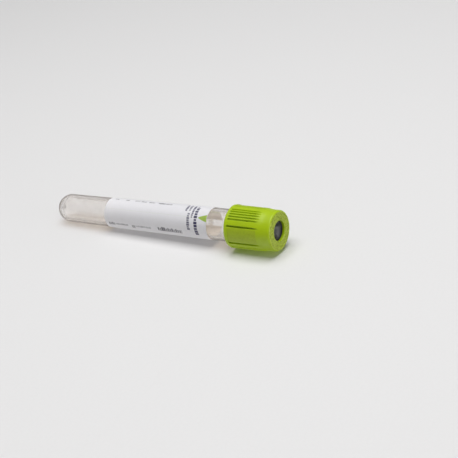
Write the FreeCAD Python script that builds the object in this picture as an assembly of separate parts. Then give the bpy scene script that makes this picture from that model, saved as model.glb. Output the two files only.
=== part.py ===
"""Evacuated blood collection tube, 13 x 100 mm, with a ribbed push-on safety closure.

The pieces are turned about the tube's own axis with the round bottom down, and heights are measured up that
axis from the outside of the round bottom. At the end the whole is stood on the flat end of its cap, because
it would roll if it lay on its side. All lengths are in millimetres.
"""
import FreeCAD, Part
import math
import os

from FreeCAD import Vector

# ---------------------------------------------------------------------------------------------------
# Driving dimensions
# ---------------------------------------------------------------------------------------------------

# Tube: a clear moulded tube that widens a little towards its mouth
TUBE_LENGTH = 100.0
MOUTH_RADIUS = 6.5
BOTTOM_RADIUS = 5.8
WALL = 1.05
BOTTOM_THICKNESS = 1.5
MOUTH_EDGE = 0.3

# Stopper: one rubber moulding, a hollow plug below a thick head
PLUG_DEPTH = 7.5
PLUG_CLEARANCE = 0.05
PLUG_EDGE = 0.5
PLUG_SIDE = 2.1
PLUG_WELL_DEPTH = 4.5
HEAD_HEIGHT = 5.5
HEAD_LEDGE = 0.65
DISH_MARGIN = 0.3
DISH_DEPTH = 2.6
DISH_FLOOR_RADIUS = 2.3

# Safety cap: skirt, shoulder and neck on the outside, a bead and a lip on the inside
SKIRT_OVERHANG = 13.5
SKIRT_GAP = 0.8
SKIRT_WALL = 1.2
SKIRT_DRAFT = 0.07
SHOULDER_LENGTH = 4.4
NECK_LENGTH = 2.5
NECK_WALL = 0.75
NECK_EDGE = 0.35
LIP_THICKNESS = 1.0
LIP_EDGE = 0.15
NEEDLE_HOLE_RADIUS = 3.95
BEAD_CLEARANCE = 0.2
BEAD_WIDTH = 0.9
BEAD_RAMP = 0.45
RIM_WIDTH = 1.3
RIM_STEP = 0.08
RIM_EDGE = 0.3

# Grip of the safety cap: shallow panels with a groove along each side, and groups of grooves between them
PANEL_COUNT = 3
PANEL_ANGLE = 49.5
PANEL_DEPTH = 0.12
GROOVE_COUNT = 5
GROOVE_PITCH = 8.1
GROOVE_DEPTH = 0.55
GROOVE_MOUTH_WIDTH = 0.8
GROOVE_FLOOR_WIDTH = 0.3
GROOVE_RUNOUT = 3.0
GROOVE_OVERRUN = 2.0
GROOVE_RISE = 0.35

# Label: a thin wrap that leaves a clear window along the tube
LABEL_START = 27.2
LABEL_LENGTH = 50.0
LABEL_THICKNESS = 0.1
LABEL_GLUE = 0.02
LABEL_WINDOW = 2.6

# Turns about the tube's axis from the front, in degrees: a group of grooves, and the label's middle
CAP_TURN = 18.2
LABEL_TURN = -19.0

# ---------------------------------------------------------------------------------------------------
# Sizes that follow from them
# ---------------------------------------------------------------------------------------------------

bore_mouth_radius = MOUTH_RADIUS - WALL
bore_bottom_radius = BOTTOM_RADIUS - WALL
bore_bottom_centre = BOTTOM_THICKNESS + bore_bottom_radius

head_radius = MOUTH_RADIUS + HEAD_LEDGE
head_top = TUBE_LENGTH + HEAD_HEIGHT
dish_radius = NEEDLE_HOLE_RADIUS + DISH_MARGIN

cap_top = head_top + LIP_THICKNESS
cap_bottom = TUBE_LENGTH - SKIRT_OVERHANG
neck_radius = head_radius + NECK_WALL
neck_bottom = cap_top - NECK_LENGTH
skirt_top = neck_bottom - SHOULDER_LENGTH
skirt_bore_radius = MOUTH_RADIUS + SKIRT_GAP
rim_radius = skirt_bore_radius + SKIRT_WALL
skirt_foot_radius = rim_radius - RIM_STEP
skirt_top_radius = skirt_foot_radius - SKIRT_DRAFT
bead_radius = MOUTH_RADIUS + BEAD_CLEARANCE
grip_start = cap_bottom + RIM_WIDTH

AXIS = Vector(0, 0, 1)
ORIGIN = Vector(0, 0, 0)
CLEAR = 2.0  # how far a cutter stands out past the surface it cuts
FRONT_ANGLE = 90.0  # from +X, where each pattern is made, to the front before the tube is turned over


def tangent_angle(along, across, radius):
    """Slope in radians of the line that touches a circle of this radius about the origin and passes
    through the point (along, across), on the far side of the circle from the axis."""
    reach = math.hypot(along, across)
    return math.atan2(across, along) - math.asin(radius / reach)


def at(radius, height):
    """A point of a half section: radius out from the axis, height along it."""
    return Vector(radius, 0, height)


def line(start, end):
    return Part.LineSegment(start, end).toShape()


def arc(start, middle, end):
    return Part.Arc(start, middle, end).toShape()


def polygon_face(points):
    return Part.Face(Part.makePolygon(points + [points[0]]))


def turned(edges):
    """A solid of revolution about the tube's axis from the edges of its closed half section."""
    face = Part.Face(Part.Wire(Part.__sortEdges__(edges)))
    return face.revolve(ORIGIN, AXIS, 360)


def eased_edges(solid, size, wanted):
    """Ease those sharp edges of the solid that the test picks."""
    edges = [edge for edge in solid.Edges if wanted(edge)]
    return solid.makeChamfer(size, edges)


def is_circle(edge, radius, height):
    """True for a full circle about the axis with this radius at this height."""
    if edge.Degenerated or not isinstance(edge.Curve, Part.Circle):
        return False
    curve = edge.Curve
    return abs(curve.Radius - radius) < 1e-4 and abs(curve.Center.z - height) < 1e-4


def outer_radius(height):
    """Outside radius of the tube's straight, slightly widening wall at a height."""
    slope = tangent_angle(TUBE_LENGTH - BOTTOM_RADIUS, MOUTH_RADIUS, BOTTOM_RADIUS)
    return MOUTH_RADIUS - (TUBE_LENGTH - height) * math.tan(slope)


def bore_radius(height):
    """Inside radius of the tube's straight wall at a height."""
    slope = tangent_angle(TUBE_LENGTH - bore_bottom_centre, bore_mouth_radius, bore_bottom_radius)
    return bore_mouth_radius - (TUBE_LENGTH - height) * math.tan(slope)


def round_ended(centre, radius, end_radius):
    """A solid with a round bottom about a centre height that widens to end_radius at the mouth."""
    slope = tangent_angle(TUBE_LENGTH - centre, end_radius, radius)
    tip = at(0, centre - radius)
    bend = math.pi / 4
    middle = at(radius * math.sin(bend), centre - radius * math.cos(bend))
    meet = at(radius * math.cos(slope), centre - radius * math.sin(slope))
    mouth = at(end_radius, TUBE_LENGTH)
    top = at(0, TUBE_LENGTH)
    return turned([arc(tip, middle, meet), line(meet, mouth), line(mouth, top), line(top, tip)])


def make_tube():
    outside = round_ended(BOTTOM_RADIUS, BOTTOM_RADIUS, MOUTH_RADIUS)
    bore = round_ended(bore_bottom_centre, bore_bottom_radius, bore_mouth_radius)
    tube = outside.cut(bore)

    def at_mouth(edge):
        outer = is_circle(edge, MOUTH_RADIUS, TUBE_LENGTH)
        inner = is_circle(edge, bore_mouth_radius, TUBE_LENGTH)
        return outer or inner

    return eased_edges(tube, min(MOUTH_EDGE, 0.4 * WALL), at_mouth)


def make_stopper():
    """Rubber stopper: a plug that follows the bore, a hollow underside, and a head with a dished top."""
    plug_bottom = TUBE_LENGTH - PLUG_DEPTH
    plug_top_radius = bore_mouth_radius - PLUG_CLEARANCE
    plug_bottom_radius = bore_radius(plug_bottom) - PLUG_CLEARANCE
    well_radius = plug_bottom_radius - PLUG_SIDE
    well_top = plug_bottom + PLUG_WELL_DEPTH
    dish_bottom = head_top - DISH_DEPTH

    bottom_inner = at(well_radius, plug_bottom)
    bottom_outer = at(plug_bottom_radius - PLUG_EDGE, plug_bottom)
    side_bottom = at(plug_bottom_radius, plug_bottom + PLUG_EDGE)
    side_top = at(plug_top_radius, TUBE_LENGTH)
    head_bottom = at(head_radius, TUBE_LENGTH)
    head_edge = at(head_radius, head_top)
    dish_edge = at(dish_radius, head_top)
    dish_corner = at(DISH_FLOOR_RADIUS, dish_bottom)
    dish_floor = at(0, dish_bottom)
    well_roof = at(0, well_top)
    well_corner = at(well_radius / 2, well_top)
    well_side = at(well_radius, well_top - well_radius / 2)
    return turned([
        line(bottom_inner, bottom_outer),
        line(bottom_outer, side_bottom),
        line(side_bottom, side_top),
        line(side_top, head_bottom),
        line(head_bottom, head_edge),
        line(head_edge, dish_edge),
        line(dish_edge, dish_corner),
        line(dish_corner, dish_floor),
        line(dish_floor, well_roof),
        line(well_roof, well_corner),
        line(well_corner, well_side),
        line(well_side, bottom_inner),
    ])


def make_cap_blank():
    """Safety cap before its grip is cut: outside, bore, bead and lip in one half section."""
    rim_inside = at(skirt_bore_radius, cap_bottom)
    rim_outside = at(rim_radius, cap_bottom)
    rim_top = at(rim_radius, grip_start)
    skirt_foot = at(skirt_foot_radius, grip_start)
    shoulder_foot = at(skirt_top_radius, skirt_top)
    shoulder_head = at(neck_radius, neck_bottom)
    face_outside = at(neck_radius, cap_top)
    face_inside = at(NEEDLE_HOLE_RADIUS, cap_top)
    lip_inside = at(NEEDLE_HOLE_RADIUS, head_top)
    lip_outside = at(head_radius, head_top)
    bead_seat = at(head_radius, TUBE_LENGTH)
    bead_top = at(bead_radius, TUBE_LENGTH)
    bead_bottom = at(bead_radius, TUBE_LENGTH - BEAD_WIDTH)
    bore_top = at(skirt_bore_radius - SKIRT_DRAFT, TUBE_LENGTH - BEAD_WIDTH - BEAD_RAMP)

    # The shoulder is an S that leaves the skirt along its draft and meets the straight neck
    half = SHOULDER_LENGTH / 2
    draft_slope = SKIRT_DRAFT / (skirt_top - grip_start)
    shoulder = Part.BezierCurve()
    shoulder.setPoles([
        shoulder_foot,
        at(skirt_top_radius - half * draft_slope, skirt_top + half),
        at(neck_radius, neck_bottom - half),
        shoulder_head,
    ])
    blank = turned([
        line(rim_inside, rim_outside),
        line(rim_outside, rim_top),
        line(rim_top, skirt_foot),
        line(skirt_foot, shoulder_foot),
        shoulder.toShape(),
        line(shoulder_head, face_outside),
        line(face_outside, face_inside),
        line(face_inside, lip_inside),
        line(lip_inside, lip_outside),
        line(lip_outside, bead_seat),
        line(bead_seat, bead_top),
        line(bead_top, bead_bottom),
        line(bead_bottom, bore_top),
        line(bore_top, rim_inside),
    ])
    blank = eased_edges(blank, RIM_EDGE, lambda edge: is_circle(edge, rim_radius, cap_bottom))
    blank = eased_edges(blank, NECK_EDGE, lambda edge: is_circle(edge, neck_radius, cap_top))
    return eased_edges(blank, LIP_EDGE, lambda edge: is_circle(edge, NEEDLE_HOLE_RADIUS, cap_top))


def make_panel_cutter():
    """Cutter of one smooth panel, centred on +X: it steps down at the rim and runs out on the shoulder."""
    foot = skirt_foot_radius - PANEL_DEPTH
    head = skirt_top_radius - PANEL_DEPTH
    clear = rim_radius + CLEAR
    face = polygon_face([
        at(foot, grip_start),
        at(head, neck_bottom),
        at(clear, neck_bottom),
        at(clear, grip_start),
    ])
    cutter = face.revolve(ORIGIN, AXIS, PANEL_ANGLE)
    cutter.rotate(ORIGIN, AXIS, -PANEL_ANGLE / 2)
    return cutter


def make_groove_cutter():
    """Cutter of one groove, centred on +X: a tapering slot whose floor slopes out on the shoulder."""
    floor_foot = skirt_foot_radius - GROOVE_DEPTH
    floor_head = skirt_top_radius - GROOVE_DEPTH
    clear = rim_radius + CLEAR
    spread = (GROOVE_MOUTH_WIDTH - GROOVE_FLOOR_WIDTH) / 2 / GROOVE_DEPTH
    half_floor = GROOVE_FLOOR_WIDTH / 2
    half_clear = half_floor + spread * (clear - floor_head)
    section = polygon_face([
        Vector(floor_head, -half_floor, grip_start),
        Vector(clear, -half_clear, grip_start),
        Vector(clear, half_clear, grip_start),
        Vector(floor_head, half_floor, grip_start),
    ])
    runout_end = skirt_top + GROOVE_OVERRUN
    slot_end = runout_end + CLEAR
    slot = section.extrude(Vector(0, 0, slot_end - grip_start))

    runout_slope = GROOVE_RISE / GROOVE_RUNOUT
    side = polygon_face([
        at(floor_foot, grip_start),
        at(floor_head, runout_end - GROOVE_RUNOUT),
        at(floor_head + GROOVE_RISE + runout_slope * CLEAR, slot_end),
        at(clear, slot_end),
        at(clear, grip_start),
    ])
    side.translate(Vector(0, -half_clear, 0))
    return slot.common(side.extrude(Vector(0, 2 * half_clear, 0)))


def make_safety_cap():
    """Safety cap: the blank with its sunk panels, their side grooves and the groups of grooves."""
    panel = make_panel_cutter()
    groove = make_groove_cutter()
    sector = 360.0 / PANEL_COUNT
    cutters = []
    for index in range(PANEL_COUNT):
        group_angle = index * sector
        panel_angle = group_angle + sector / 2
        cutters.append(panel.rotated(ORIGIN, AXIS, panel_angle))
        cutters.append(groove.rotated(ORIGIN, AXIS, panel_angle - PANEL_ANGLE / 2))
        cutters.append(groove.rotated(ORIGIN, AXIS, panel_angle + PANEL_ANGLE / 2))
        for place in range(GROOVE_COUNT):
            offset = (place - (GROOVE_COUNT - 1) / 2) * GROOVE_PITCH
            cutters.append(groove.rotated(ORIGIN, AXIS, group_angle + offset))
    return make_cap_blank().cut(cutters)


def make_label():
    """Label: a thin wrap on the tube's wall, centred on +X, open along the window at its back."""
    inner_foot = outer_radius(LABEL_START) + LABEL_GLUE
    inner_head = outer_radius(LABEL_START + LABEL_LENGTH) + LABEL_GLUE
    face = polygon_face([
        at(inner_foot, LABEL_START),
        at(inner_foot + LABEL_THICKNESS, LABEL_START),
        at(inner_head + LABEL_THICKNESS, LABEL_START + LABEL_LENGTH),
        at(inner_head, LABEL_START + LABEL_LENGTH),
    ])
    window_angle = math.degrees(LABEL_WINDOW / outer_radius(LABEL_START + LABEL_LENGTH / 2))
    wrap_angle = 360 - window_angle
    label = face.revolve(ORIGIN, AXIS, wrap_angle)
    label.rotate(ORIGIN, AXIS, -wrap_angle / 2)
    # Its two long cones are kept as ruled splines: they are straight along the tube and need few facets
    return label.toNurbs()


def stand_on_cap(shapes):
    """Turn the pieces over, so that the cap's flat end rests on the ground with its middle at the origin
    and the sides that faced +Y face -Y."""
    for shape in shapes:
        shape.rotate(ORIGIN, Vector(1, 0, 0), 180)
        shape.translate(Vector(0, 0, cap_top))


def main():
    pieces = {
        "tube": make_tube(),
        "stopper": make_stopper(),
        "safety_cap": make_safety_cap(),
        "label": make_label(),
    }
    # The middle of the label and of one group of grooves are made on +X
    pieces["label"].rotate(ORIGIN, AXIS, FRONT_ANGLE - LABEL_TURN)
    pieces["safety_cap"].rotate(ORIGIN, AXIS, FRONT_ANGLE - CAP_TURN)
    stand_on_cap(pieces.values())

    os.makedirs("parts", exist_ok=True)
    for name, shape in pieces.items():
        shape.exportStep("parts/%s.step" % name)
        box = shape.optimalBoundingBox(False)
        sides = "x %.3f to %.3f, y %.3f to %.3f, z %.3f to %.3f" % (
            box.XMin, box.XMax, box.YMin, box.YMax, box.ZMin, box.ZMax)
        print("%-10s volume %8.2f mm3, valid %s, %s" % (name, shape.Volume, shape.isValid(), sides))


main()
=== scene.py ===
# %% [markdown]
# # A blood collection tube
# The real thing is a clear, round-bottomed plastic tube with a paper label wrapped round it. A rubber
# stopper closes its mouth, and a ribbed green cap is pressed over the stopper, so that the two come off
# together. The imported model gives a fixed frame: the tube stands on the flat end of its cap, its axis is
# the Z axis, and the printed front of the label faces -Y. Every piece below is made at its place in that frame.
# The size of the imported model is read first, and the added pieces are built to it.

# %% Load the fixed frame and keep its size
import math

import bpy
from mathutils import Matrix, Vector


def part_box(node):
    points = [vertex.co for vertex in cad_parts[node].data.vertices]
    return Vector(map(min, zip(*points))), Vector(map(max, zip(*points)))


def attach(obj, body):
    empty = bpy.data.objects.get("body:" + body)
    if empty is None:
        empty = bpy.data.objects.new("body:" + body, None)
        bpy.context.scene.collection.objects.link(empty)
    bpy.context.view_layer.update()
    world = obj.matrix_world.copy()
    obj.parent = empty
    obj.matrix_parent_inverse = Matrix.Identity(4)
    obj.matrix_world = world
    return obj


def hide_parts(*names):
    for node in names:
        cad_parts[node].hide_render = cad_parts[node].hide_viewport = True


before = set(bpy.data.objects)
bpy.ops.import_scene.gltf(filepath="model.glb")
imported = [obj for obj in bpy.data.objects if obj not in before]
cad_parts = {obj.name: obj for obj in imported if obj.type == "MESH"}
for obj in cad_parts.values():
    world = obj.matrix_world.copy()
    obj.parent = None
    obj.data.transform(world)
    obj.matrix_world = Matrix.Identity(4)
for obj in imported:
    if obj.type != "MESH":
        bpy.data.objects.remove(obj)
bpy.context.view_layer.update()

MM = 0.001

# %% [markdown]
# The four nodes already stand in the right place, so their boxes give the main heights and widths. Heights
# are measured up from the ground under the cap's flat end. The sizes that no box shows, such as walls and
# edges, are written out beside the piece that they belong to.

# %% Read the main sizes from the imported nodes
def node_box_mm(node):
    """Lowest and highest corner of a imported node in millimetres."""
    low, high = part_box(node)
    return low / MM, high / MM


cap_low, cap_high = node_box_mm("safety_cap")
tube_low, tube_high = node_box_mm("tube")
label_low, label_high = node_box_mm("label")
stopper_low, stopper_high = node_box_mm("stopper")

RIM_RADIUS = round(cap_high.x, 2)       # the cap's widest part, the band at its open end
RIM_HEIGHT = round(cap_high.z, 2)       # where the cap ends
MOUTH_HEIGHT = round(tube_low.z, 2)     # the tube's mouth, inside the cap
TIP_HEIGHT = round(tube_high.z, 2)      # top of the round bottom
HEAD_HEIGHT = round(stopper_low.z, 2)   # outer face of the stopper, behind the cap's lip
PLUG_HEIGHT = round(stopper_high.z, 2)  # where the stopper's plug ends in the bore
LABEL_FOOT = round(label_low.z, 2)
LABEL_HEAD = round(label_high.z, 2)
print("rim radius", RIM_RADIUS, "rim", RIM_HEIGHT, "mouth", MOUTH_HEIGHT, "tip", TIP_HEIGHT,
      "label", LABEL_FOOT, "to", LABEL_HEAD)

# %% [markdown]
# ## One tool for turned shapes
# Three of the four pieces are round, as if turned on a lathe. In Blender a round piece can start from a
# cylinder, from a curve with a Screw modifier, or from a half section that is spun. The half section is
# chosen here: its points are the same figures that a drawing would give, and one spin makes the skin.
# A plane is shrunk to one point, that point is extruded from place to place along the section, and the
# row of edges is spun about the Z axis. Everything is deselected first, because loading the frame leaves
# its nodes selected and an operator would act on them too.

# %% Extrude a half section and spin it
WELD = 0.0005  # mm between points that count as one


def start_object(name, add, **settings):
    """Add a primitive with nothing else selected, name it and open it for editing."""
    bpy.ops.object.select_all(action="DESELECT")
    add(**settings)
    piece = bpy.context.object
    piece.name = name
    piece.data.name = name
    bpy.ops.object.mode_set(mode="EDIT")
    bpy.ops.mesh.select_all(action="SELECT")
    return piece


def extrude_along(points):
    """Move the one selected point to the first place, then extrude it through the others."""
    radius, height = points[0]
    bpy.ops.transform.translate(value=(radius * MM, 0, height * MM))
    for (r_from, h_from), (r_to, h_to) in zip(points, points[1:]):
        step = ((r_to - r_from) * MM, 0, (h_to - h_from) * MM)
        bpy.ops.mesh.extrude_region_move(TRANSFORM_OT_translate={"value": step})


def spin_piece(name, points, steps, degrees=360.0):
    """A skin of revolution about Z from points of (radius, height) in millimetres."""
    piece = start_object(name, bpy.ops.mesh.primitive_plane_add, size=MM)
    bpy.ops.mesh.merge(type="CENTER")
    extrude_along(points)
    bpy.ops.mesh.select_all(action="SELECT")
    bpy.ops.mesh.spin(steps=steps, angle=math.radians(degrees), center=(0, 0, 0), axis=(0, 0, 1))
    bpy.ops.mesh.select_all(action="SELECT")
    bpy.ops.mesh.remove_doubles(threshold=WELD * MM)
    bpy.ops.mesh.normals_make_consistent(inside=False)
    bpy.ops.object.mode_set(mode="OBJECT")
    return piece


def select_only(piece):
    """Leave one piece selected and active."""
    bpy.ops.object.select_all(action="DESELECT")
    piece.select_set(True)
    bpy.context.view_layer.objects.active = piece


def shade_soft(piece, degrees):
    """Smooth shading that still breaks at real corners."""
    select_only(piece)
    bpy.ops.object.shade_smooth_by_angle(angle=math.radians(degrees))

# %% [markdown]
# A moulded part has no knife edges: every corner of its section is a small curve, and that curve is what
# catches a line of light. A Bevel modifier could round the edges after the spin, but on a finely divided
# skin its width is held back by the narrow faces beside it. So the corners are rounded in the section
# itself: a point may carry a radius, and it is swapped for a few points on the arc that fits the corner.

# %% Round the corners of a half section
def rounded_section(points, arc_points=4):
    """Swap each (radius, height, rounding) for points on an arc, and pass plain points through."""
    section = []
    last = len(points) - 1
    for index, point in enumerate(points):
        corner = Vector(point[:2])
        if len(point) == 2:
            section.append((corner.x, corner.y))
            continue
        before = Vector(points[index - 1 if index else last][:2]) - corner
        after = Vector(points[index + 1 if index < last else 0][:2]) - corner
        half = before.angle(after) / 2
        reach = point[2] / math.tan(half)
        start = corner + before.normalized() * reach
        end = corner + after.normalized() * reach
        middle = (before.normalized() + after.normalized()).normalized()
        centre = corner + middle * point[2] / math.sin(half)
        sweep = (start - centre).angle_signed(end - centre)
        for place in range(arc_points + 1):
            spoke = start - centre
            spoke.rotate(Matrix.Rotation(-sweep * place / arc_points, 2))
            section.append((centre.x + spoke.x, centre.y + spoke.y))
    return section


test_corner = rounded_section([(0, 0), (1, 0, 0.2), (1, 1)])
print("a rounded corner:", [(round(r, 3), round(h, 3)) for r, h in test_corner])

# %% [markdown]
# ## The clear tube
# The tube is one moulding: a wall about a millimetre thick that widens a little towards the mouth, so that
# it comes off its mould, and a round bottom with the small round scar where the plastic was let in. A
# Solidify modifier on a single skin would give an even wall, but the real wall is thicker at the bottom,
# and glass-like shading shows that. So the section runs down the outside and back up the inside. A point
# close to each end of the long straight walls keeps the shading of the curves out of them.

# %% Section of the tube: outside, mouth, inside
MOUTH_RADIUS = 6.5
BOTTOM_RADIUS = 5.8
WALL = 1.05
BOTTOM_THICKNESS = 1.5
MOUTH_ROUNDING = 0.25
GATE_PIP = 0.55       # radius of the scar in the middle of the round bottom
GATE_RADIUS = 1.35    # radius of the ring sunk round it
GATE_DEPTH = 0.3
GATE_EDGE = 0.25      # width over which the ring's sides fall
HOLD = 0.4            # distance of the points that keep the long walls straight


def ramp(value, start, end):
    """Soft step from 0 at start to 1 at end."""
    share = min(1.0, max(0.0, (value - start) / (end - start)))
    return share * share * (3 - 2 * share)


def wall_slope(along, across, radius):
    """Slope of the wall that touches a round end and passes through the mouth, in radians."""
    return math.atan2(across, along) - math.asin(radius / math.hypot(along, across))


outer_centre = TIP_HEIGHT - BOTTOM_RADIUS
inner_radius = BOTTOM_RADIUS - WALL
inner_mouth = MOUTH_RADIUS - WALL
inner_centre = TIP_HEIGHT - BOTTOM_THICKNESS - inner_radius
outer_slope = wall_slope(outer_centre - MOUTH_HEIGHT, MOUTH_RADIUS, BOTTOM_RADIUS)
inner_slope = wall_slope(inner_centre - MOUTH_HEIGHT, inner_mouth, inner_radius)


def tube_radius(height):
    """Outside radius of the straight wall at a height."""
    return MOUTH_RADIUS - (height - MOUTH_HEIGHT) * math.tan(outer_slope)


def bore_radius(height):
    """Inside radius of the straight wall at a height."""
    return inner_mouth - (height - MOUTH_HEIGHT) * math.tan(inner_slope)


def dome(centre, radius, slope, steps):
    """Points of a round end, from its pole to where the straight wall touches it."""
    points = []
    for place in range(steps + 1):
        turn = (math.pi / 2 + slope) * place / steps
        points.append((radius * math.sin(turn), centre + radius * math.cos(turn)))
    return points


def with_gate(point):
    """Sink a soft-sided ring round the scar in the middle of the round bottom."""
    radius, height = point
    ring = ramp(radius, GATE_PIP, GATE_PIP + GATE_EDGE) * ramp(radius, GATE_RADIUS, GATE_RADIUS - GATE_EDGE)
    return radius, height - GATE_DEPTH * ring


outer_dome = [with_gate(point) for point in dome(outer_centre, BOTTOM_RADIUS, outer_slope, 76)]
inner_dome = dome(inner_centre, inner_radius, inner_slope, 32)
outer_meet = outer_dome[-1][1]
inner_meet = inner_dome[-1][1]
mouth = rounded_section([
    (tube_radius(MOUTH_HEIGHT + HOLD), MOUTH_HEIGHT + HOLD),
    (MOUTH_RADIUS, MOUTH_HEIGHT, MOUTH_ROUNDING),
    (inner_mouth, MOUTH_HEIGHT, MOUTH_ROUNDING),
    (bore_radius(MOUTH_HEIGHT + HOLD), MOUTH_HEIGHT + HOLD),
])
tube_section = (
    outer_dome
    + [(tube_radius(outer_meet - HOLD), outer_meet - HOLD)]
    + mouth
    + [(bore_radius(inner_meet - HOLD), inner_meet - HOLD)]
    + inner_dome[::-1]
)
tube_wall = spin_piece("tube_wall", tube_section, 144)
shade_soft(tube_wall, 60)
print("tube wall faces:", len(tube_wall.data.polygons))

# %% [markdown]
# ## The wrap label
# The label is a strip of coated paper stuck round the tube. It doesn't quite meet itself at the back,
# and the gap is the window through which the filling is watched. Its section is a thin slip that follows
# the tube's slant, with a hair of glue under it, and it is spun by less than a full turn. The two cut ends
# are closed afterwards, and the strip is turned so that the window lies behind the printed front, a little
# to one side.

# %% Spin the label part of the way round
LABEL_THICKNESS = 0.1
LABEL_GLUE = 0.02
LABEL_WINDOW = 2.6
LABEL_TURN = -19.0     # middle of the strip, in degrees from the printed front towards +X

label_middle = (LABEL_FOOT + LABEL_HEAD) / 2
window_degrees = math.degrees(LABEL_WINDOW / tube_radius(label_middle))
label_degrees = 360 - window_degrees
foot_radius = tube_radius(LABEL_FOOT) + LABEL_GLUE
head_radius = tube_radius(LABEL_HEAD) + LABEL_GLUE
label_section = [
    (foot_radius, LABEL_FOOT),
    (foot_radius + LABEL_THICKNESS, LABEL_FOOT),
    (head_radius + LABEL_THICKNESS, LABEL_HEAD),
    (head_radius, LABEL_HEAD),
    (foot_radius, LABEL_FOOT),
]
wrap_label = spin_piece("wrap_label", label_section, 132, label_degrees)

bpy.ops.object.mode_set(mode="EDIT")
bpy.ops.mesh.select_all(action="SELECT")
bpy.ops.mesh.fill_holes(sides=4)
bpy.ops.mesh.select_all(action="SELECT")
bpy.ops.mesh.normals_make_consistent(inside=False)
bpy.ops.object.mode_set(mode="OBJECT")


def middle_direction(piece):
    """Angle of a piece's mean point from -Y towards +X, in degrees."""
    mean = sum((vertex.co for vertex in piece.data.vertices), Vector()) / len(piece.data.vertices)
    return math.degrees(math.atan2(mean.x, -mean.y))


def turn_about_axis(piece, degrees):
    """Turn a piece's mesh about the Z axis in edit mode, so that the object itself stays unturned."""
    bpy.ops.object.mode_set(mode="EDIT")
    bpy.ops.mesh.select_all(action="SELECT")
    bpy.ops.transform.rotate(value=math.radians(degrees), orient_axis="Z", center_override=(0, 0, 0))
    bpy.ops.object.mode_set(mode="OBJECT")


turn_about_axis(wrap_label, middle_direction(wrap_label) - LABEL_TURN)
shade_soft(wrap_label, 40)
print("label spans", round(label_degrees, 1), "degrees, middle at", round(middle_direction(wrap_label), 2))

# %% [markdown]
# ## The rubber stopper
# The stopper is one rubber moulding. Its hollow plug fills the mouth of the tube, and its thick head rests
# on the rim. The needle goes through the dish in its outer face, which shows as a dark disc in the cap's
# opening. It is spun from a section that starts and ends on the axis, with soft corners throughout,
# because rubber fills its mould without sharp edges.

# %% Section of the stopper
HEAD_RADIUS = 7.13
PLUG_CLEARANCE = 0.05
PLUG_SIDE = 2.1
WELL_ROOF = 9.5
DISH_RADIUS = 4.25
DISH_FLOOR_RADIUS = 2.3
DISH_FLOOR = 3.6
RUBBER_ROUNDING = 0.35
PLUG_ROOT_ROUNDING = 0.1
DISH_EDGE_ROUNDING = 0.5
DISH_FLOOR_ROUNDING = 1.2

plug_top = bore_radius(MOUTH_HEIGHT) - PLUG_CLEARANCE
plug_end = bore_radius(PLUG_HEIGHT) - PLUG_CLEARANCE
well_radius = plug_end - PLUG_SIDE
stopper_section = rounded_section([
    (0, WELL_ROOF),
    (well_radius / 2, WELL_ROOF, RUBBER_ROUNDING),
    (well_radius, WELL_ROOF + well_radius / 2, RUBBER_ROUNDING),
    (well_radius, PLUG_HEIGHT, RUBBER_ROUNDING),
    (plug_end, PLUG_HEIGHT, RUBBER_ROUNDING),
    (plug_top, MOUTH_HEIGHT, PLUG_ROOT_ROUNDING),
    (HEAD_RADIUS, MOUTH_HEIGHT, RUBBER_ROUNDING),
    (HEAD_RADIUS, HEAD_HEIGHT, RUBBER_ROUNDING),
    (DISH_RADIUS, HEAD_HEIGHT, DISH_EDGE_ROUNDING),
    (DISH_FLOOR_RADIUS, DISH_FLOOR, DISH_FLOOR_ROUNDING),
    (0, DISH_FLOOR),
], 6)
rubber_stopper = spin_piece("rubber_stopper", stopper_section, 96)
shade_soft(rubber_stopper, 60)
print("stopper points in section:", len(stopper_section))

# %% [markdown]
# ## The ribbed cap
# The cap is one green moulding. Round its outside run three groups of five grooves for the fingers, and
# between them lie three smooth shallow panels with a groove along each side. A plain band closes the open
# end, and a shoulder leads over to the neck with the flat end face. Inside are the seat for the stopper's
# head, a bead that holds it, and the skirt's bore. First comes the plain skin. Its section has rows of
# points close together where a groove or panel will end, so that there is something to bend there.

# %% Section of the cap before its grip is pressed in
NECK_RADIUS = 7.9
NECK_HEIGHT = 2.5
SKIRT_TOP = 6.9        # where the shoulder starts
SKIRT_TOP_RADIUS = 8.35
SKIRT_FOOT_RADIUS = 8.42
BAND_HEIGHT = 18.7     # lower edge of the plain band at the open end
STEP_WIDTH = 0.16      # how far the wall under the band leans
HOLE_RADIUS = 3.95
SEAT_RADIUS = 7.15
BEAD_RADIUS = 6.7
BEAD_END = 7.4
BORE_START = 7.85
BORE_TOP_RADIUS = 7.23
BORE_RADIUS = 7.3
GROOVE_STRAIGHT = 7.9  # the grooves have their full depth above this height
RIM_ROUNDING = 0.3
END_ROUNDING = 0.6     # of the end face's outer corner
HOLE_ROUNDING = 0.2
NECK_HOLD = 0.9        # the last three say how far from the end face's corners the points
OUTER_HOLD = 1.2       # stand that keep it and the neck straight
INNER_HOLD = 0.8


def skirt_radius(height):
    """Outside radius of the straight skirt."""
    widening = (SKIRT_FOOT_RADIUS - SKIRT_TOP_RADIUS) * (height - SKIRT_TOP) / (BAND_HEIGHT - SKIRT_TOP)
    return SKIRT_TOP_RADIUS + widening


def land_radius(height):
    """Outside radius of the cap at a height, as if it had no grip: neck, shoulder, skirt, band."""
    if height < SKIRT_TOP:
        rise = ramp(height, NECK_HEIGHT, SKIRT_TOP)
        return NECK_RADIUS + (SKIRT_TOP_RADIUS - NECK_RADIUS) * rise
    step = ramp(height - BAND_HEIGHT + STEP_WIDTH, 0, STEP_WIDTH)
    return skirt_radius(height) + (RIM_RADIUS - SKIRT_FOOT_RADIUS) * step


def rows(start, end, count):
    """Heights from start to end, both included."""
    return [start + (end - start) * place / count for place in range(count + 1)]


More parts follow.
